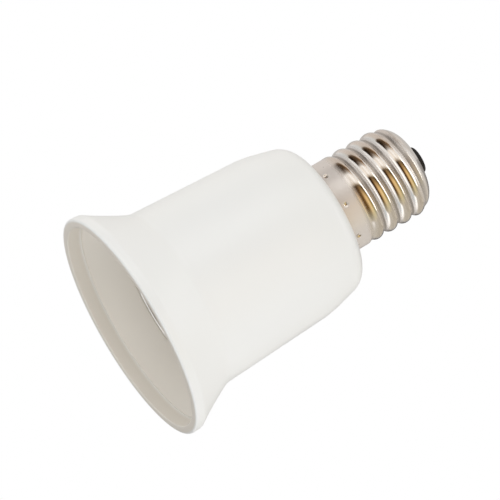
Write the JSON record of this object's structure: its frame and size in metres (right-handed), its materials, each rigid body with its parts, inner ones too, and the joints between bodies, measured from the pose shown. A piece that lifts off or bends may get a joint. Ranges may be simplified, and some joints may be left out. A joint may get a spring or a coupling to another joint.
{
  "type": "lamp socket adapter",
  "caption": "Screw adapter: a small threaded metal cap on a white bell-shaped housing whose mouth holds a larger threaded sleeve with a spring centre contact.",
  "frame": {"origin": "centre of the housing's mouth rim, on the plane it stands on", "axes": "+Z along the axis from the mouth to the tip of the screw cap; the two sleeve screws lie on X"},
  "size_m": [0.0416, 0.0416, 0.059],
  "materials": {
    "white_moulding": "white moulded plastic, semi-gloss",
    "nickel_plate": "bright nickel plate on thin rolled sheet",
    "sleeve_plate": "nickel plate on thin rolled sheet",
    "zinc_steel": "zinc-plated steel",
    "black_moulding": "black moulded insulator, semi-gloss",
    "brass": "plain brass",
    "spring_bronze": "phosphor bronze spring strip",
    "tin_solder": "solder, bright grey",
    "copper": "bare copper wire",
    "black_sleeving": "black insulating sleeving",
    "white_sleeving": "white insulating sleeving"
  },
  "bodies": {
    "adapter": {"housing": "white_moulding", "cap_shell": "nickel_plate", "socket_sleeve": "sleeve_plate", "sleeve_screws": "zinc_steel", "tip_insulator": "black_moulding", "tip_eyelet": "brass", "tip_solder": "tin_solder", "centre_rivet": "brass", "centre_tag": "brass", "centre_lead_core": "copper", "centre_lead_jacket": "black_sleeving", "tag_solder": "tin_solder", "sleeve_lead_core": "copper", "sleeve_lead_jacket": "white_sleeving", "sleeve_solder": "tin_solder"},
    "contact_leaf": {"centre_contact": "spring_bronze"}
  },
  "joints": [
    {"name": "contact_press", "type": "hinge", "parent": "adapter", "child": "contact_leaf", "pos_m": [-0.00155, 0, 0.03012], "axis": [0, -1, 0], "range_deg": [0, 15], "stiffness_Nm_per_rad": 0.05, "deforming": ["centre_contact"]}
  ]
}
